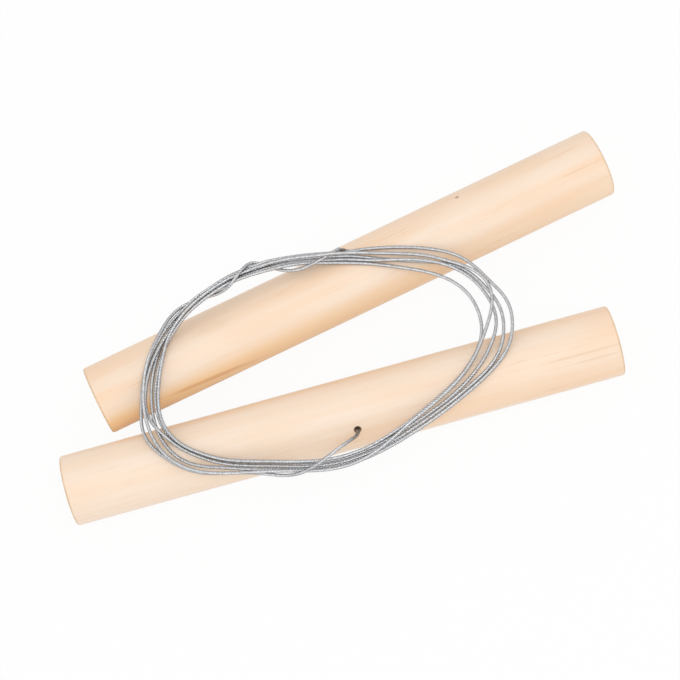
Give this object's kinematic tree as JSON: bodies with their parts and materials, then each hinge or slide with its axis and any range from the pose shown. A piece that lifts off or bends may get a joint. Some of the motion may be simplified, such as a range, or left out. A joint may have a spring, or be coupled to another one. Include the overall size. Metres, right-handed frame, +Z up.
{
  "type": "clay cutter",
  "caption": "Clay cutting wire: a long loop of fine stranded steel wire, coiled, with a round wooden dowel handle tied across each end.",
  "frame": {"origin": "on the table, under the middle of the box round both handles", "axes": "+X along the lower handle to the right, +Y away from the viewer towards the upper handle, +Z up from the table"},
  "size_m": [0.108, 0.0507, 0.0173],
  "materials": {
    "dowel_wood": "sanded, unvarnished",
    "strand_steel": "stranded, bright",
    "crimp_alloy": "pressed"
  },
  "bodies": {
    "wire": {"wire_coil": "strand_steel", "lower_lead": "strand_steel", "upper_lead": "strand_steel"},
    "lower_grip": {"lower_handle": "dowel_wood", "lower_sleeve": "crimp_alloy", "lower_wire_end": "strand_steel"},
    "upper_grip": {"upper_handle": "dowel_wood", "upper_sleeve": "crimp_alloy", "upper_wire_end": "strand_steel"}
  },
  "joints": [
    {"name": "lower_handle_swing", "type": "hinge", "parent": "wire", "child": "lower_grip", "pos_m": [-0.00213, -0.02067, 0.01077], "axis": [0, 0, 1], "range_deg": [-1.2, 12]},
    {"name": "upper_handle_swing", "type": "hinge", "parent": "wire", "child": "upper_grip", "pos_m": [0.00432, 0.011, 0.01145], "axis": [0, 0, 1], "range_deg": [-12, 1.2]}
  ]
}
